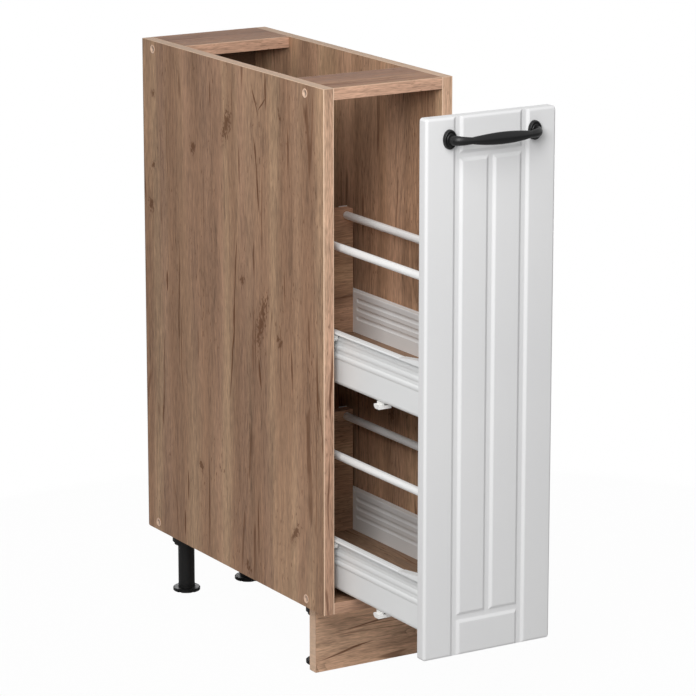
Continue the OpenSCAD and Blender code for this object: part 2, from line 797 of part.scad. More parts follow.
module rail(level, right) {
    color(steel_white) side(right)
        translate([-drawer_half + rail_inset, 0, drawer_zs[level] + rail_z]) difference() {
            rod_y(door_back_y + rail_socket_t, drawer_back_y, rail_d);
            rod_y(door_back_y, drawer_back_y + cut, rail_d - 2 * rail_wall);
        }
}

module rail_sockets() {
    color(nylon) both_sides() for (z = drawer_zs)
        translate([-drawer_half + rail_inset, door_back_y, z + rail_z]) {
            rod_y(0, rail_socket_t - 1, rail_d + 4);
            rod_y(0, rail_socket_t, rail_d + 2.4);
            rod_y(0, rail_socket_t + stud_l, stud_d);
        }
}

module rear_screw_axes() {
    for (z = [rear_screw_low, rear_screw_high])
        translate([-drawer_half + rear_screw_inset, drawer_rear_y, floor_top + z]) children();
}

// Rear bracket: a strip up the back that wraps the steel side below and holds the rail's stud
module rear_brackets() {
    strip_w = 13;
    color(steel_white) both_sides() for (z = drawer_zs) translate([0, 0, z]) difference() {
        union() {
            along_y(drawer_rear_y, drawer_rear_y + bracket_t) {
                translate([-drawer_half, floor_top]) square([strip_w, drawer_back_top - floor_top + 1]);
                translate([-drawer_half + rail_inset, rail_z]) circle(8);
            }
            box([-web_out - bracket_t, drawer_rear_y - 22, floor_top + 2],
                [-web_out, drawer_rear_y + bracket_t, rib_z]);
            box([-web_out - bracket_t, drawer_rear_y, floor_top + 2],
                [-drawer_half + cut, drawer_rear_y + bracket_t, rib_z]);
            translate([-drawer_half + rail_inset, 0, rail_z])
                rod_y(drawer_back_y - stud_l, drawer_rear_y + bracket_t, stud_d);
        }
        rear_screw_axes() rod_y(-cut, bracket_t + cut, 4);
    }
}

// Front bracket: an angle with a gusset that ties the steel side to the front
module front_brackets() {
    low = floor_top + 2;
    high = steel_h - 4;
    leg_l = 36;
    wing = 19;
    plate = 2;
    color(zinc) both_sides() for (z = drawer_zs) translate([0, door_back_y, z]) difference() {
        union() {
            along_x(-drawer_half, -drawer_half + plate)
                polygon([[0, low], [leg_l - 8, low], [leg_l, low + 8], [leg_l, high - 12],
                         [leg_l - 12, high], [0, high]]);
            box([-drawer_half, 0, low], [-drawer_half + wing, plate, high]);
            for (gz = [low, high - plate]) translate([-drawer_half, 0, gz]) linear_extrude(plate)
                polygon([[0, 0], [wing - 2, 0], [plate, leg_l - 14], [0, leg_l - 14]]);
        }
        for (dz = [30, 60]) translate([-drawer_half + 11, 0, dz]) rod_y(-cut, plate + cut, 4);
    }
}

module drawer_roller(level, right) {
    color(nylon) side(right)
        translate([-inner_half + tail_roller_x, tail_roller_at, drawer_zs[level] + tail_roller_z])
            roller_body(tail_roller_d, roller_w);
}

module drawer_pins() {
    near = -inner_half + tail_roller_x - roller_w / 2;
    far = -inner_half + tail_roller_x + roller_w / 2;
    color(zinc) both_sides() for (z = drawer_zs)
        translate([0, tail_roller_at, z + tail_roller_z]) {
            rod_x(near - 0.5, -drawer_half - 0.1, pin_d);
            rod_x(near - 0.9, near - 0.15, pin_d + 2.4);
            rod_x(far + 0.15, -web_out, pin_d + 2.4);
        }
}

module drawer_screws() {
    color(zinc) {
        both_sides() for (z = drawer_zs) translate([0, 0, z]) {
            floor_screw_axes() {
                rod_z(-0.5, 12, 2.8);
                rod_z(-1.6, 0, 6.5);
            }
            rear_screw_axes() {
                rod_y(-10, bracket_t + 0.5, 2.8);
                rod_y(bracket_t, bracket_t + 1.6, 6.5);
            }
        }
        door_screw_axes() {
            rod_y(-10, 2.5, 2.8);
            rod_y(2, 3.8, 6.5);
        }
    }
}

// Nylon clips under the drawer floors, each with a slot for its tongue
module floor_clips() {
    w = 19;
    d = 13;
    h = floor_clip_h;
    x0 = -drawer_half - 3.4;
    y0 = door_back_y + floor_clip_at;
    color(nylon) both_sides() for (z = drawer_zs) translate([x0, y0, z]) difference() {
        along_x(0, w) polygon([[0, -h], [d - 3, -h], [d, -h + 3], [d, 0], [0, 0]]);
        box([w - 11, -cut, -4.2], [w - 3.5, d - 3, -2]);
        box([-cut, -cut, -3.2], [bend_r - 1, d + cut, cut]);
    }
}

side(false) carcass_side();  // side_left
side(true) carcass_side();  // side_right
bottom_panel();
stretcher_front();
stretcher_rear();
back_panel();
back_nails();
edge_banding();
confirmat_screws();
screw_caps();
runner(0, false);  // runner_upper_left
runner(0, true);  // runner_upper_right
runner(1, false);  // runner_lower_left
runner(1, true);  // runner_lower_right
runner_roller(0, false);  // runner_roller_upper_left
runner_roller(0, true);  // runner_roller_upper_right
runner_roller(1, false);  // runner_roller_lower_left
runner_roller(1, true);  // runner_roller_lower_right
runner_pins();
runner_screws();
leg(false, leg_ys[0]);  // leg_front_left
leg(true, leg_ys[0]);  // leg_front_right
leg(false, leg_ys[1]);  // leg_rear_left
leg(true, leg_ys[1]);  // leg_rear_right
leg_sockets();
leg_screws();
foot(false, leg_ys[0]);  // foot_front_left
foot(true, leg_ys[0]);  // foot_front_right
foot(false, leg_ys[1]);  // foot_rear_left
foot(true, leg_ys[1]);  // foot_rear_right
plinth();
plinth_clips();
door();
handle();
handle_screws();
door_bumpers();
drawer_side(0, false);  // drawer_side_upper_left
drawer_side(0, true);  // drawer_side_upper_right
drawer_side(1, false);  // drawer_side_lower_left
drawer_side(1, true);  // drawer_side_lower_right
drawer_floor(0);  // drawer_floor_upper
drawer_floor(1);  // drawer_floor_lower
drawer_back(0);  // drawer_back_upper
drawer_back(1);  // drawer_back_lower
drawer_banding();
rail(0, false);  // rail_upper_left
rail(0, true);  // rail_upper_right
rail(1, false);  // rail_lower_left
rail(1, true);  // rail_lower_right
rail_sockets();
rear_brackets();
front_brackets();
drawer_roller(0, false);  // drawer_roller_upper_left
drawer_roller(0, true);  // drawer_roller_upper_right
drawer_roller(1, false);  // drawer_roller_lower_left
drawer_roller(1, true);  // drawer_roller_lower_right
drawer_pins();
drawer_screws();
floor_clips();
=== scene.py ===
"""A 200 mm pull-out base cabinet in a plain studio: every piece's finish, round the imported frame."""
import math

import bmesh
import bpy
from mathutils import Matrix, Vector


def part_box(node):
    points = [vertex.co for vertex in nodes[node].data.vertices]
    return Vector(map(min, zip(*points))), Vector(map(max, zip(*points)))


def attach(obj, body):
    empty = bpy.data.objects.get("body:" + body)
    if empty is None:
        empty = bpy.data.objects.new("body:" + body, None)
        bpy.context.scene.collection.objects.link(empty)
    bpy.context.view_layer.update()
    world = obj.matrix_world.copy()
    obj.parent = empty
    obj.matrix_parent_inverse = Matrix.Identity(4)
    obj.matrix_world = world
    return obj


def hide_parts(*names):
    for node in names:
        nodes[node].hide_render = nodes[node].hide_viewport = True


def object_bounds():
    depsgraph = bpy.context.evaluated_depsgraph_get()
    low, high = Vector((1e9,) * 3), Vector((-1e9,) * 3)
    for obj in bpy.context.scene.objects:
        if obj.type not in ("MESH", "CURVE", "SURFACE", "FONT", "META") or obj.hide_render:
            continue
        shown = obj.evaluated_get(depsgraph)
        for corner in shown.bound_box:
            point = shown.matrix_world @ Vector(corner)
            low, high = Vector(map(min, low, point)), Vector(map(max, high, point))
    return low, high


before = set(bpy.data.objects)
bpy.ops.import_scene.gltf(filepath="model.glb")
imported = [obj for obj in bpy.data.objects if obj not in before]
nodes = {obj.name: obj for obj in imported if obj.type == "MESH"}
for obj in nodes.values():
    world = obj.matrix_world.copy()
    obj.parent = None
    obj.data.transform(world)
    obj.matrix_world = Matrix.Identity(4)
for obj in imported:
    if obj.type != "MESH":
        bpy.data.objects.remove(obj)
cad_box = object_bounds()
scene = bpy.context.scene

# Camera: it stands to the left of the cabinet and a little above it, with a long lens, so the
# upright edges stay close to parallel and both the left side and the white front show.
frame_px = 696
focus_px = 3580.6
camera_yaw = math.radians(31.185)
camera_pitch = math.radians(13.941)
camera = bpy.data.objects.new("camera", bpy.data.cameras.new("camera"))
camera.data.sensor_width = 36.0
camera.data.lens = camera.data.sensor_width * focus_px / frame_px
camera.location = (-2.4555, -3.9537, 1.6157)
camera.rotation_euler = (math.pi / 2 - camera_pitch, 0.0, -camera_yaw)
scene.collection.objects.link(camera)
scene.camera = camera
scene.view_settings.view_transform = "Standard"


# Studio: white surroundings and a pale floor, nearly clear to the camera, so a foot that is screwed
# down still shows. A soft box stands at the left of the front, with weak ones on the other sides.
class Link:
    """One output in a node tree. Sums on it add Math nodes, and add() makes any other node."""

    def __init__(self, tree, socket):
        self.tree = tree
        self.socket = socket

    def add(self, kind, settings=None, sockets=None, out=0):
        """An output of a new node, made with its settings and the values or links of its sockets."""
        node = self.tree.nodes.new("ShaderNode" + kind)
        for name, value in (settings or {}).items():
            setattr(node, name, value)
        for key, value in (sockets or {}).items():
            if isinstance(value, Link):
                self.tree.links.new(value.socket, node.inputs[key])
            else:
                node.inputs[key].default_value = value
        return Link(self.tree, node.outputs[out])

    def beside(self, name):
        """Another output of the same node."""
        return Link(self.tree, self.socket.node.outputs[name])

    def maths(self, operation, *others):
        return self.add("Math", {"operation": operation}, dict(enumerate((self,) + others)))

    def __add__(self, other):
        return self.maths("ADD", other)

    def __sub__(self, other):
        return self.maths("SUBTRACT", other)

    def __rsub__(self, other):
        return self.maths("MULTIPLY_ADD", -1.0, other)

    def __mul__(self, other):
        return self.maths("MULTIPLY", other)

    def __truediv__(self, other):
        return self.maths("DIVIDE", other)

    def __abs__(self):
        return self.maths("ABSOLUTE")

    __radd__ = __add__
    __rmul__ = __mul__

    def step(self, low, high):
        """0 below low and 1 above high, with a soft passage; the other way round if low is above high."""
        return self.add("MapRange", {"interpolation_type": "SMOOTHSTEP"},
                        {"Value": self, "From Min": low, "From Max": high})

    def mix(self, first, second):
        """first where this value is 0 and second where it is 1, both of them colours."""
        return self.add("Mix", {"data_type": "RGBA"}, {0: self, 6: first, 7: second}, 2)

    def shaded(self, amount):
        """This colour times a value."""
        return self.add("VectorMath", {"operation": "SCALE"}, {0: self, "Scale": amount})

    def into(self, node, name):
        self.tree.links.new(self.socket, node.inputs[name])


white = (1.0, 1.0, 1.0, 1.0)
ambient = 0.23
floor_half = 9.0
floor_grey = 0.65
floor_clearness = 0.975
shadow_near, shadow_far = 0.4, 1.1

world = bpy.data.worlds.new("studio")
world.use_nodes = True
scene.world = world
sky = world.node_tree.nodes["Background"]
rays = Link(world.node_tree, world.node_tree.nodes.new("ShaderNodeLightPath").outputs["Is Camera Ray"])
seen = rays
for kind in ("Is Glossy Ray", "Is Transmission Ray"):
    seen = seen.maths("MAXIMUM", rays.beside(kind))
seen.mix((ambient, ambient, ambient, 1.0), white).into(sky, "Color")

floor_paint = bpy.data.materials.new("floor_paint")
floor_paint.use_nodes = True
floor_tree = floor_paint.node_tree
floor_shader = floor_tree.nodes["Principled BSDF"]
floor_shader.inputs["Base Color"].default_value = (floor_grey, floor_grey, floor_grey, 1.0)
floor_shader.inputs["Roughness"].default_value = 0.9
ground = Link(floor_tree, floor_tree.nodes.new("ShaderNodeTexCoord").outputs["Object"])
away = ground.add("VectorMath", {"operation": "LENGTH"}, {0: ground}, "Value")
straight = ground.add("LightPath", out="Is Camera Ray")
veil = straight * away.step(shadow_near, shadow_far).maths("MAXIMUM", floor_clearness)
paint = Link(floor_tree, floor_shader.outputs["BSDF"])
clear = ground.add("BsdfTransparent", {}, {"Color": white})
floor_end = floor_tree.nodes["Material Output"]
ground.add("MixShader", {}, {0: veil, 1: paint, 2: clear}).into(floor_end, "Surface")
floor_signs = ((-1, -1), (1, -1), (1, 1), (-1, 1))
floor_mesh = bpy.data.meshes.new("floor")
floor_mesh.from_pydata([(x * floor_half, y * floor_half, 0.0) for x, y in floor_signs], [], [(0, 1, 2, 3)])
floor_mesh.materials.append(floor_paint)
floor = bpy.data.objects.new("floor", floor_mesh)
scene.collection.objects.link(floor)


def lamp(name, at, aim, size, power):
    """A square soft box at one point, turned to another. The camera doesn't see it."""
    made = bpy.data.objects.new(name, bpy.data.lights.new(name, "AREA"))
    made.visible_camera = False
    made.data.size = size
    made.data.energy = power
    made.location = at
    made.rotation_euler = (Vector(aim) - Vector(at)).to_track_quat("-Z", "Y").to_euler()
    scene.collection.objects.link(made)


lamp("key_box", at=(-1.3, -1.35, 1.45), aim=(0.0, -0.1, 0.55), size=0.7, power=23.0)
lamp("top_box", at=(-0.8, -1.15, 2.2), aim=(0.0, 0.0, 0.5), size=0.8, power=15.0)
lamp("right_box", at=(1.7, 1.5, 0.45), aim=(0.1, 0.2, 0.45), size=0.7, power=13.0)
lamp("rear_box", at=(0.5, 2.2, 0.45), aim=(0.0, 0.25, 0.45), size=0.7, power=9.0)

# Boards: 16 mm chipboard with a brown oak decor pressed on both faces. The decor has soft bands,
# fibres, growth rings, dark cracks and a few knots, and the cut edges show raw chips.
oak_tones = ((190, 156, 126), (179, 142, 117), (158, 123, 98))
oak_crack = (98, 62, 40)
oak_knot = (110, 76, 53)
growth_rings = 26.0
chip_pale, chip_deep = (206, 176, 132), (150, 118, 80)
chips_per_metre = 330.0
side_low, side_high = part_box("side_right")
side_mid = (side_low.x + side_high.x) / 2
board_half = (side_high.x - side_low.x) / 2


def ink(colour):
    """A colour as it reads on a screen, turned into the light values that a shader wants."""
    return tuple(((c / 255 + 0.055) / 1.055) ** 2.4 for c in colour) + (1.0,)


def finish(name, roughness=0.5, metallic=0.0, shine=0.5):
    """A new material: itself, its shader, and the place on the piece in metres."""
    made = bpy.data.materials.new(name)
    made.use_nodes = True
    shader = made.node_tree.nodes["Principled BSDF"]
    shader.inputs["Roughness"].default_value = roughness
    shader.inputs["Metallic"].default_value = metallic
    shader.inputs["Specular IOR Level"].default_value = shine
    where = Link(made.node_tree, made.node_tree.nodes.new("ShaderNodeTexCoord").outputs["Object"])
    return made, shader, where


def speckle(where, per_metre, detail=2.0, harsh=0.5):
    """Noise from 0 to 1 with about so many grains in a metre; detail and harsh add finer ones."""
    return where.add("TexNoise", {}, {"Vector": where, "Scale": per_metre, "Detail": detail,
                                      "Roughness": harsh})


def emboss(shader, height, strength, deep):
    """Shades a surface as if a height from 0 to 1 raised it by up to deep metres."""
    raised = height.add("Bump", {}, {"Height": height, "Strength": strength, "Distance": deep})
    raised.into(shader, "Normal")


def oak(name, axes, seed, tones=oak_tones, cracks=(), knots=(), raw=True, flow=0.8, figure=0.2):
    """Oak decor. axes are the board's own directions: across the grain, along it and through the
    board; without axes, the grain runs along narrow strips, upright or level. tones are a pale, a
    rosy and a deep one. A crack is its middle, half its length, half its width and its lean, and so
    is a knot. flow is how far the growth rings run before they turn, and figure how much they
    darken."""
    made, shader, where = finish(name, shine=0.16)
    pale, rosy, deep = [ink(tone) for tone in tones]
    parts = where.add("SeparateXYZ", {}, {0: where})
    x, y, z = [parts.beside(axis) for axis in "XYZ"]
    if axes:
        across, along, through = [parts.beside(axis) for axis in axes]
    else:
        through = abs(x).step(side_low.x - 0.0004, side_low.x + 0.0002)
        across = z + (x - z) * through
        along = x + (y + z - x) * through

    def grain(width, length, shift, detail=1.0):
        """Noise about 0 in grains of a width and a length; each shift gives others."""
        layer = through * 20 + (seed + shift)
        at = where.add("CombineXYZ", {}, {"X": across / width, "Y": along / length, "Z": layer})
        return speckle(at, 1.0, detail) - 0.5

    def aside(at, height, lean):
        """How far a place lies to the side of a leaning line through a point of the board."""
        return across - at - (along - height) * lean

    across = across + grain(0.13, 0.6, 0.0) * 0.022 + grain(0.03, 0.16, 15.0) * 0.012
    swell = 0.0
    for at, height, half_l, half_w, lean in knots:
        u = aside(at, height, lean) / (half_w * 1.4)
        v = (along - height) / (half_l * 1.3)
        swell = swell + ((u * u + v * v) * -0.8).maths("EXPONENT")
    ring = ((grain(0.05, flow, 1.0) + swell * 0.08) * growth_rings).maths("FRACT")
    ring = ring * ring * grain(0.04, 0.3, 2.0).step(-0.04, 0.12)
    wide = grain(0.03, 0.55, 6.0, 2.0)
    cloud = grain(0.045, 0.16, 16.0)
    threads = grain(0.005, 0.09, 3.0, 2.0)
    fibres = grain(0.0020, 0.035, 4.0, 1.5)
    pores = grain(0.0009, 0.013, 5.0)
    shade = 1.0 + wide * 0.8 + cloud * 0.35 + threads * 0.5 + fibres * 0.7 + pores * 1.0 - ring * figure
    warm = grain(0.06, 1.4, 8.0).step(-0.1, 0.1).mix(pale, rosy)
    colour = grain(0.05, 1.1, 7.0).step(-0.2, 0.16).mix(deep, warm).shaded(shade)
    hair = abs(grain(0.032, 0.6, 9.0)).step(0.02, 0.003) * grain(0.05, 0.14, 10.0).step(0.03, 0.11)
    flecks = grain(0.0024, 0.011, 13.0).step(0.15, 0.25) * grain(0.045, 0.13, 14.0).step(-0.03, 0.08)
    dark = (hair * 0.75).maths("MAXIMUM", flecks * 0.75)
    wobble = grain(0.006, 0.035, 11.0, 2.0) * 0.003
    for at, height, half_l, half_w, lean in cracks:
        t = (along - height) / half_l
        gape = (1.0 - t * t) * half_w
        crack = (gape - abs(aside(at, height, lean) + wobble)).step(-0.0008, 0.0004)
        dark = dark.maths("MAXIMUM", crack)
    if knots:
        speck = grain(0.0030, 0.006, 12.0, 3.0)
        spots = (swell + speck * 2.8).step(0.5, 0.9) * swell.step(0.1, 0.45)
        colour = (swell * 0.3).mix(colour, ink(oak_knot))
        dark = dark.maths("MAXIMUM", spots * 0.85)
    colour = (dark * 0.8).mix(colour, ink(oak_crack))
    # Banding only: the long arrises, and the top faces at the cabinet's top, are mixed towards a paler
    # colour. This is a painted highlight that stands in for the light they catch.
    if not axes:
        top_highlight = z.step(cad_box[1].z - 0.0010, cad_box[1].z - 0.0006)
        arris_highlight = abs(abs(x) - side_mid).step(board_half - 0.0020, board_half - 0.0004) * through
        colour = (arris_highlight.maths("MAXIMUM", top_highlight * 0.55) * 0.75).mix(colour, ink(band_highlight))
    if raw:
        facing = where.add("SeparateXYZ", {}, {0: where.add("TexCoord", out="Normal")}, axes[2])
        chips = where.add("TexVoronoi", {}, {"Vector": where, "Scale": chips_per_metre}, 1)
        chip = where.add("SeparateColor", {}, {0: chips}).mix(ink(chip_deep), ink(chip_pale))
        colour = abs(facing).step(0.7, 0.4).mix(colour, chip)
    colour.into(shader, "Base Color")
    (0.52 + fibres * 0.3 + dark * 0.2).into(shader, "Roughness")
    emboss(shader, threads * 0.4 + fibres * 0.6 + pores * 0.5 - dark * 0.8, strength=0.4, deep=0.0004)
    return made


def dress(names, coat, ease=0.0):
    """Gives CAD nodes their finish, and rounds their arrises by ease metres."""
    for name in names:
        piece = nodes[name]
        piece.data.materials.clear()
        piece.data.materials.append(coat)
        if ease:
            piece.data.shade_smooth()
            piece.modifiers.new("weld", "WELD").merge_threshold = 2e-6
            bevel = piece.modifiers.new("ease", "BEVEL")
            bevel.width = ease
            bevel.segments = 2
            piece.modifiers.new("flat", "WEIGHTED_NORMAL")


left_cracks = (
    (0.177, 0.778, 0.020, 0.0015, 0.45), (0.150, 0.795, 0.026, 0.0014, 0.0),
    (0.158, 0.776, 0.010, 0.0013, -0.9), (0.176, 0.705, 0.022, 0.0018, 0.2),
    (0.170, 0.662, 0.036, 0.0022, 0.1), (0.394, 0.768, 0.020, 0.0014, 0.0),
    (0.306, 0.769, 0.018, 0.0013, 0.0), (0.225, 0.680, 0.028, 0.0013, 0.0),
    (0.090, 0.725, 0.030, 0.0011, 0.0), (0.435, 0.480, 0.016, 0.0026, 0.0),
    (0.399, 0.455, 0.090, 0.0014, -0.02), (0.238, 0.534, 0.040, 0.0013, -0.1),
    (0.244, 0.466, 0.042, 0.0019, -0.06), (0.252, 0.400, 0.052, 0.0017, -0.13),
    (0.183, 0.558, 0.026, 0.0018, 0.0), (0.167, 0.401, 0.022, 0.0024, 0.15),
    (0.102, 0.532, 0.024, 0.0012, 0.0), (0.086, 0.422, 0.028, 0.0012, 0.0),
    (0.016, 0.415, 0.052, 0.0017, 0.0), (0.451, 0.285, 0.028, 0.0015, -0.1),
    (0.315, 0.175, 0.072, 0.0017, 0.0), (0.389, 0.133, 0.020, 0.0019, 0.0),
    (0.179, 0.179, 0.040, 0.0017, -0.02), (0.378, 0.189, 0.024, 0.0015, 0.05))
left_knots = (
    (0.259, 0.731, 0.021, 0.0085, -0.35), (0.357, 0.686, 0.008, 0.005, 0.0),
    (0.114, 0.768, 0.007, 0.003, 0.4), (0.473, 0.745, 0.005, 0.005, 0.0),
    (0.473, 0.642, 0.004, 0.004, 0.0), (0.481, 0.582, 0.009, 0.007, 0.0),
    (0.219, 0.523, 0.005, 0.005, 0.0), (0.163, 0.474, 0.034, 0.009, -0.3),
    (0.115, 0.457, 0.008, 0.0045, 0.3), (0.342, 0.229, 0.007, 0.006, 0.3),
    (0.076, 0.195, 0.015, 0.0055, -0.6), (0.210, 0.115, 0.007, 0.006, 0.3))
right_knots = ((0.31, 0.61, 0.016, 0.006, 0.2), (0.12, 0.33, 0.010, 0.005, -0.2))
right_tones = ((205, 169, 136), (194, 155, 127), (174, 137, 109))
stretcher_tones = ((178, 136, 105), (168, 125, 98), (146, 106, 81))
dress(["side_left"], oak("oak_left", "YZX", seed=1.3, cracks=left_cracks, knots=left_knots))
dress(["side_right"], oak("oak_right", "YZX", seed=34.6, tones=right_tones, knots=right_knots))
dress(["bottom_panel"], oak("oak_bottom", "YXZ", seed=47.2))
stretcher_oak = oak("oak_stretchers", "YXZ", seed=61.9, tones=stretcher_tones)
dress(["stretcher_front", "stretcher_rear"], stretcher_oak)

# Edge banding: 0.8 mm strips of the same decor in a lighter tone, glued to every edge that shows,
# with their long arrises scraped round. The grain runs along each strip.
band_ease = 0.0004
# The paler colour that the banding's arrises and top faces take: a painted highlight.
band_highlight = (250, 219, 190)
band_tones = ((210, 174, 146), (203, 163, 138), (180, 142, 117))
band_cracks = ((-0.0915, 0.425, 0.048, 0.0014, 0.034), (-0.0885, 0.68, 0.06, 0.0010, 0.02),
               (-0.0945, 0.27, 0.05, 0.0009, -0.02), (0.090, 0.70, 0.05, 0.0011, 0.02))
band_oak = oak("oak_banding", "", seed=75.1, tones=band_tones, cracks=band_cracks, raw=False)
dress(["edge_banding"], band_oak, band_ease)

# Confirmat screws and their caps: zinced steel screws sunk in the sides, each under a moulded
# cap with a dished face, in a plastic close to the banding.
zinc_dull, zinc_bright = (168, 172, 176), (206, 209, 212)
zinc, shader, where = finish("zinc_plate", metallic=1.0)
spangle = speckle(where, 900.0, detail=3.0)
spangle.mix(ink(zinc_dull), ink(zinc_bright)).into(shader, "Base Color")
(0.26 + spangle * 0.2).into(shader, "Roughness")
dress(["confirmat_screws", "back_nails"], zinc)

cap_r = 0.0065
cap_dish = 0.0026
cap_warm, cap_pale, cap_rim_shade = (224, 186, 158), (238, 204, 178), (150, 112, 86)
cap_low, cap_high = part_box("screw_caps")
cap_mid = (cap_low + cap_high) / 2
cap_span = (cap_high - cap_low) / 2
cap_plastic, shader, where = finish("cap_plastic", roughness=0.4)
plastic = speckle(where, 260.0).mix(ink(cap_warm), ink(cap_pale))
parts = where.add("SeparateXYZ", {}, {0: where})
off_y = abs(parts.beside("Y") - cap_mid.y) - (cap_span.y - cap_r)
off_z = abs(parts.beside("Z") - cap_mid.z) - (cap_span.z - cap_r)
off_axis = (off_y * off_y + off_z * off_z).maths("SQRT")
# A darker ring is painted round the edge of each cap: painted shade where the proud cap meets the board.
off_axis.step(cap_r * 0.94, cap_r * 1.02).mix(plastic, ink(cap_rim_shade)).into(shader, "Base Color")
emboss(shader, off_axis.step(cap_r * 0.15, cap_r * 0.72), strength=1.0, deep=cap_dish)
dress(["screw_caps"], cap_plastic)

# Back: 3 mm hardboard, lacquered brown inside and nailed to the rear edges of both sides. Its
# fibres show as a fine mottle.
lacquer_dark, lacquer_pale = (92, 68, 50), (124, 95, 73)
hardboard, shader, where = finish("hardboard", roughness=0.55)
felt = speckle(where, 420.0, detail=5.0, harsh=0.7)
mottle = (felt * 0.7 + speckle(where, 14.0) * 0.3).step(0.3, 0.7)
mottle.mix(ink(lacquer_dark), ink(lacquer_pale)).into(shader, "Base Color")
emboss(shader, felt, strength=0.3, deep=0.0002)
dress(["back_panel"], hardboard)

# Runners: channels rolled from steel strip and powder-coated off-white. Three screws hold each one
# to the inner face of its side.
powder_grey, powder_pale = (235, 236, 236), (245, 246, 246)
coated_steel, shader, where = finish("coated_steel")
peel = speckle(where, 620.0)
speckle(where, 9.0, detail=3.0).mix(ink(powder_grey), ink(powder_pale)).into(shader, "Base Color")
(0.3 + peel * 0.12).into(shader, "Roughness")
emboss(shader, peel, strength=0.12, deep=0.0002)
tiers = ("upper", "lower")


def four(kind, levels):
    """The names of four like nodes, a left and a right one at each of two levels or ends."""
    return [kind + "_" + level + "_" + hand for level in levels for hand in ("left", "right")]


dress(four("runner", tiers), coated_steel)
dress(["runner_pins", "runner_screws"], zinc)

# Rollers: white nylon wheels on steel pins. Those at the front ends of the runners carry the
# drawers' tracks, and those at the rear ends of the drawers run inside the channels.
nylon_shade, nylon_pale = (243, 242, 239), (252, 251, 248)
glow_depth = 0.002
nylon, shader, where = finish("white_nylon", roughness=0.42)
speckle(where, 300.0).mix(ink(nylon_shade), ink(nylon_pale)).into(shader, "Base Color")
shader.inputs["Subsurface Weight"].default_value = 0.1
shader.inputs["Subsurface Radius"].default_value = (glow_depth, glow_depth, glow_depth)
dress(four("runner_roller", tiers) + four("drawer_roller", tiers), nylon)

# Legs: moulded black plastic tubes in screwed-on sockets, with lobed feet that turn for height.
# The plinth clips are of the same plastic.
leg_black, leg_worn = (12, 12, 12), (21, 21, 21)
black_plastic, shader, where = finish("black_plastic", shine=0.3)
etch = speckle(where, 1500.0)
etch.mix(ink(leg_black), ink(leg_worn)).into(shader, "Base Color")
(0.4 + etch * 0.2).into(shader, "Roughness")
emboss(shader, etch, strength=0.2, deep=0.0002)
leg_ends = ("front", "rear")
dress(four("leg", leg_ends) + four("foot", leg_ends), black_plastic)
dress(["leg_sockets", "plinth_clips"], black_plastic)
dress(["leg_screws"], zinc)

# Plinth: a strip of the same oak board with its grain lying across. Clips at its back snap on the
# front legs, so that it comes off for cleaning.
# Its decor is paler than that of the sides: painted light, making up for the shade under the cabinet and
# behind the front.
plinth_lit_tones = ((230, 193, 160), (220, 182, 152), (202, 164, 136))
plinth_cracks = ((0.024, -0.032, 0.040, 0.0016, 0.18), (0.060, 0.010, 0.045, 0.0010, 0.12))
plinth_lit_oak = oak("oak_plinth_painted_light", "ZXY", seed=88.4, tones=plinth_lit_tones, cracks=plinth_cracks,
                 flow=0.14, figure=0.65)
dress(["plinth"], plinth_lit_oak)

# Front: one fibreboard panel with milled grooves and a rounded rim, wrapped in white film, which
# softens every edge. Two upright grooves run right through; cross grooves and a short one between
# them make two tall panels.
groove_w = 0.016
groove_deep = 0.0026
groove_flank = 0.0056
groove_pitch = 0.050
groove_end = 0.051
rim = 0.004
back_ease = 0.0006
rim_steps, flank_steps = 8, 9
plain_step, least_step = 0.025, 0.003
film_shade, film_pale = (230, 230, 231), (236, 236, 236)
front_low, front_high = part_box("door")
front_mid = (front_low + front_high) / 2
half_x = (front_high.x - front_low.x) / 2
half_z = (front_high.z - front_low.z) / 2
cross_z = half_z - groove_end


def groove(offset):
    """Depth of a groove at a distance from its middle, with eased shoulders and floor."""
    t = min(1.0, max(0.0, (groove_w / 2 - abs(offset)) / groove_flank))
    return groove_deep * t * t * (3 - 2 * t)


def grid_lines(half, middles):
    """Where the panel's mesh has lines: close together on the rim and in the grooves."""
    found = [half - rim + rim * math.sin(math.pi / 2 * k / rim_steps) for k in range(rim_steps + 1)]
    found += [-line for line in found]
    for k in range(flank_steps + 1):
        off = groove_w / 2 - groove_flank * k / flank_steps
        found += [middle + s * off for middle in middles for s in (-1, 1)]
    steps = round(2 * half / plain_step)
    plain = [-half + 2 * half * k / steps for k in range(1, steps)]
    found += [line for line in plain if min(abs(line - other) for other in found) > least_step]
    return sorted(found)


def panel_depth(x, z):
    """How far the milled face lies behind the front's plane, rim left out."""
    deep = groove(abs(x) - groove_pitch)
    if abs(x) <= groove_pitch:
        deep = max(deep, groove(abs(z) - cross_z))
    if abs(z) <= cross_z:
        deep = max(deep, groove(x))
    return deep


def join_rings(shape, low, high):
    """Faces between two closed rings that have as many points each."""
    for k in range(len(low)):
        m = (k + 1) % len(low)
        shape.faces.new((low[k], low[m], high[m], high[k]))


def smooth_mesh(shape, name):
    """Turns finished faces into a smooth mesh that faces outwards."""
    bmesh.ops.recalc_face_normals(shape, faces=shape.faces)
    mesh = bpy.data.meshes.new(name)
    shape.to_mesh(mesh)
    shape.free()
    mesh.shade_smooth()
    return mesh


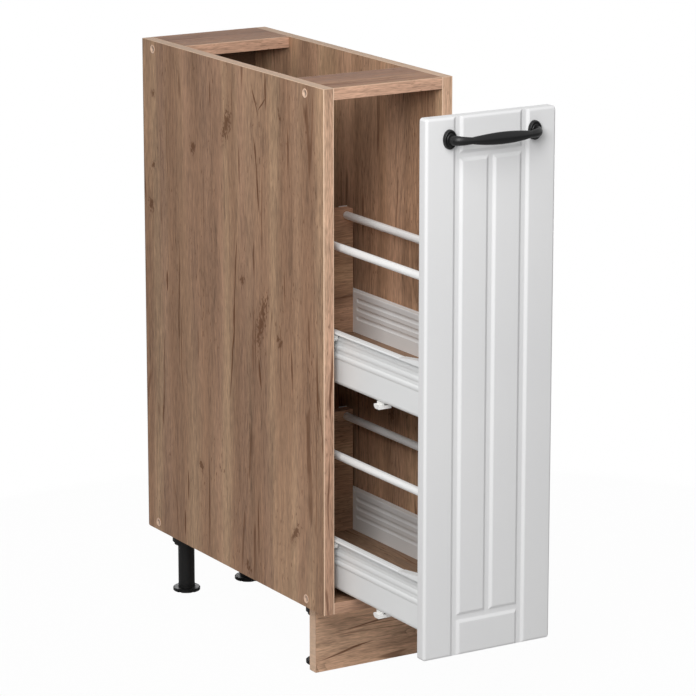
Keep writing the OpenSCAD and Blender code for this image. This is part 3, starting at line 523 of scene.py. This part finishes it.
def build_front():
    """The milled face with its rounded rim, then the panel's edges and its plain back."""
    shape = bmesh.new()
    columns = grid_lines(half_x, (-groove_pitch, 0.0, groove_pitch))
    rows = grid_lines(half_z, (-cross_z, cross_z))
    grid = []
    for u in columns:
        grid.append([])
        for v in rows:
            over_x = max(0.0, abs(u) - half_x + rim) / rim
            over_z = max(0.0, abs(v) - half_z + rim) / rim
            over = max(over_x, over_z)
            if over_x and over_z:
                length = math.hypot(over_x, over_z)
                over_x, over_z = over_x / length * over, over_z / length * over
            x = math.copysign(min(abs(u), half_x - rim) + over_x * rim, u)
            z = math.copysign(min(abs(v), half_z - rim) + over_z * rim, v)
            deep = max(rim - rim * math.sqrt(max(0.0, 1 - over * over)), panel_depth(x, z))
            grid[-1].append(shape.verts.new((x, front_low.y + deep, front_mid.z + z)))
    for left, right in zip(grid, grid[1:]):
        for j in range(len(rows) - 1):
            shape.faces.new((left[j], right[j], right[j + 1], left[j + 1]))
    edge = [column[0] for column in grid[:-1]] + grid[-1][:-1]
    edge += [column[-1] for column in grid[:0:-1]] + grid[0][:0:-1]
    for y, inset in ((front_high.y - back_ease, 0.0), (front_high.y, back_ease)):
        ring = []
        for v in edge:
            x = v.co.x - math.copysign(inset, v.co.x)
            z = v.co.z - math.copysign(inset, v.co.z - front_mid.z)
            ring.append(shape.verts.new((x, y, z)))
        join_rings(shape, edge, ring)
        edge = ring
    shape.faces.new(edge)
    return smooth_mesh(shape, "front_panel")


def add_piece(mesh, coat, body, slot, *stands_for):
    """Puts a modelled piece in the scene in place of its CAD nodes."""
    piece = bpy.data.objects.new(mesh.name, mesh)
    mesh.materials.append(coat)
    scene.collection.objects.link(piece)
    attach(piece, body)
    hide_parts(*stands_for)
    return piece


film, shader, where = finish("white_film")
peel = speckle(where, 380.0, detail=3.0)
speckle(where, 5.0).mix(ink(film_shade), ink(film_pale)).into(shader, "Base Color")
(0.28 + peel * 0.12).into(shader, "Roughness")
emboss(shader, peel, strength=0.1, deep=0.0002)
front = add_piece(build_front(), film, "pull_out_unit", "white_front", "door")
front.modifiers.new("flat", "WEIGHTED_NORMAL")
dress(["door_bumpers"], nylon)

# Handle: a matt black bow cast in one piece. A leaf-shaped bar with a soft ridge turns at two necks
# into the arms, and each arm grows out of a dished oval rosette; two screws come through the front.
centres = 0.128
handle_reach = 0.026
neck = centres / 2 - 0.020
bar_h, neck_h, root_h = 0.016, 0.0088, 0.0022
bar_depth, neck_depth, root_depth = 0.009, 0.0068, 0.0015
ridge = 0.16
bow_power = 3.0
rosette_w, rosette_h, rosette_t = 0.019, 0.0255, 0.005
rosette_rim = ((0.0, 1.0), (0.2, 1.0), (0.4, 1.0), (0.75, 0.97), (0.94, 0.92), (1.0, 0.86),
               (0.92, 0.79), (0.78, 0.72), (0.76, 0.62))
arm_foot = rosette_t * rosette_rim[-1][0]
stand = handle_reach - arm_foot
handle_low, handle_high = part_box("handle")
handle_z = (handle_low.z + handle_high.z) / 2
bar_rings, rim_rings, bar_sides = 140, 4, 48
cast_black, cast_grey = (13, 13, 13), (27, 27, 28)


def arm_share(x):
    """0 along the bar, and from 0 at a neck to 1 where its arm meets the rosette."""
    return max(0.0, (abs(x) - neck) / (centres / 2 - neck))


def swelling(x, slim, full, root, power):
    """Half a width that swells from the necks to the middle, and again towards the roots."""
    if abs(x) < neck:
        return slim / 2 + (full - slim) / 2 * math.cos(math.pi / 2 * x / neck) ** power
    return slim / 2 + root * arm_share(x)


def bar_ring(u):
    """A closed ring square to the bow, which runs from one rosette at u = -1 to the other at 1."""
    swing = math.pi / 2 * abs(u) ** (bow_power / 2)
    x = math.copysign(centres / 2 * math.sin(swing) ** (2 / bow_power), u)
    out = stand * max(0.0, math.cos(swing)) ** (2 / bow_power)
    fall = stand * (2 * abs(x) / centres) ** (bow_power - 1)
    run = centres / 2 * (out / stand) ** (bow_power - 1)
    tilt = -math.copysign(math.atan2(fall, run), u)
    half_h = swelling(x, neck_h, bar_h, root_h, power=0.8)
    half_d = swelling(x, neck_depth, bar_depth, root_depth, power=1.0)
    found = []
    for k in range(bar_sides):
        turn = 2 * math.pi * k / bar_sides
        face = abs(math.cos(turn))
        d = half_d * math.cos(turn) * (1 - ridge * (1 - arm_share(x)) * (1 - face ** 4) * face)
        y = front_low.y - arm_foot - out - d * math.cos(tilt)
        found.append((x - d * math.sin(tilt), y, handle_z + half_h * math.sin(turn)))
    return found


def rosette_ring(side, t, share):
    """An oval ring at a share of the rosette's thickness, as wide as a share of its full width."""
    turns = [2 * math.pi * k / bar_sides for k in range(bar_sides)]
    return [(side * centres / 2 + side * rosette_w / 2 * share * math.cos(turn),
             front_low.y - t * rosette_t, handle_z + rosette_h / 2 * share * math.sin(turn))
            for turn in turns]


def rosette_rings(side):
    """The rosette's rim and dish, from the front's face up to the root of the arm, on a soft curve
    through the points of rosette_rim."""
    found = []
    for k in range(len(rosette_rim) - 1):
        near = [rosette_rim[max(0, min(len(rosette_rim) - 1, k + i))] for i in (-1, 0, 1, 2)]
        for step in range(rim_rings):
            f = step / rim_rings
            weights = (-f + 2 * f * f - f ** 3, 2 - 5 * f * f + 3 * f ** 3,
                       f + 4 * f * f - 3 * f ** 3, f ** 3 - f * f)
            t, share = [sum(w * point[i] for w, point in zip(weights, near)) / 2 for i in (0, 1)]
            found.append(rosette_ring(side, max(0.0, t), min(1.0, share)))
    return found


def build_handle():
    """One closed skin, from the left rosette along the bow to the right one."""
    shape = bmesh.new()
    rings = rosette_rings(-1) + [bar_ring(2 * k / bar_rings - 1) for k in range(bar_rings + 1)]
    rings += rosette_rings(1)[::-1]
    skins = [[shape.verts.new(p) for p in ring] for ring in rings]
    for low, high in zip(skins, skins[1:]):
        join_rings(shape, low, high)
    shape.faces.new(skins[0][::-1])
    shape.faces.new(skins[-1])
    return smooth_mesh(shape, "bow_handle")


casting, shader, where = finish("black_casting", shine=0.3)
grit = speckle(where, 1100.0, detail=4.0, harsh=0.65)
worn = speckle(where, 90.0, detail=3.0)
(grit * 0.5 + worn * 0.5).mix(ink(cast_black), ink(cast_grey)).into(shader, "Base Color")
(0.24 + grit * 0.22).into(shader, "Roughness")
emboss(shader, grit, strength=0.35, deep=0.0003)
add_piece(build_handle(), casting, "pull_out_unit", "black_casting", "handle")
dress(["handle_screws"], zinc)

# Drawer sides: pressed from one steel sheet each, with a track, three ribs and a flange, and
# powder-coated like the runners. Screwed brackets tie them to the front and to the drawer backs.
dress(four("drawer_side", tiers), coated_steel)
dress(["rear_brackets", "front_brackets"], coated_steel)
dress(["drawer_pins", "drawer_screws"], zinc)

# Drawer floors and backs: oak-faced board between the steel sides. The floors lie on the sides'
# flanges, screwed from below, and the backs have banded tops.
# The floors' decor is darker than that of the other boards: painted shade, standing in for the shadow
# inside the drawers.
floor_shade_tones = ((150, 121, 97), (141, 110, 90), (124, 96, 77))
drawer_floor_shaded_oak = oak("oak_floors_painted_shade", "XYZ", seed=102.7, tones=floor_shade_tones)
dress(["drawer_floor_upper", "drawer_floor_lower"], drawer_floor_shaded_oak)
dress(["drawer_back_upper", "drawer_back_lower"], oak("oak_backs", "ZXY", seed=115.3))
back_band_oak = oak("oak_back_banding", "", seed=129.8, tones=band_tones, raw=False)
dress(["drawer_banding"], back_band_oak, band_ease)

# Gallery rails: steel tubes with a thick white coat, on sockets at the front and on the rear
# brackets. Nylon clips hold the drawer floors from below.
coat_shade, coat_pale = (247, 247, 246), (252, 252, 251)
white_coat, shader, where = finish("white_coat")
peel = speckle(where, 500.0)
peel.mix(ink(coat_shade), ink(coat_pale)).into(shader, "Base Color")
(0.24 + peel * 0.1).into(shader, "Roughness")
dress(four("rail", tiers), white_coat)
dress(["rail_sockets", "floor_clips"], nylon)
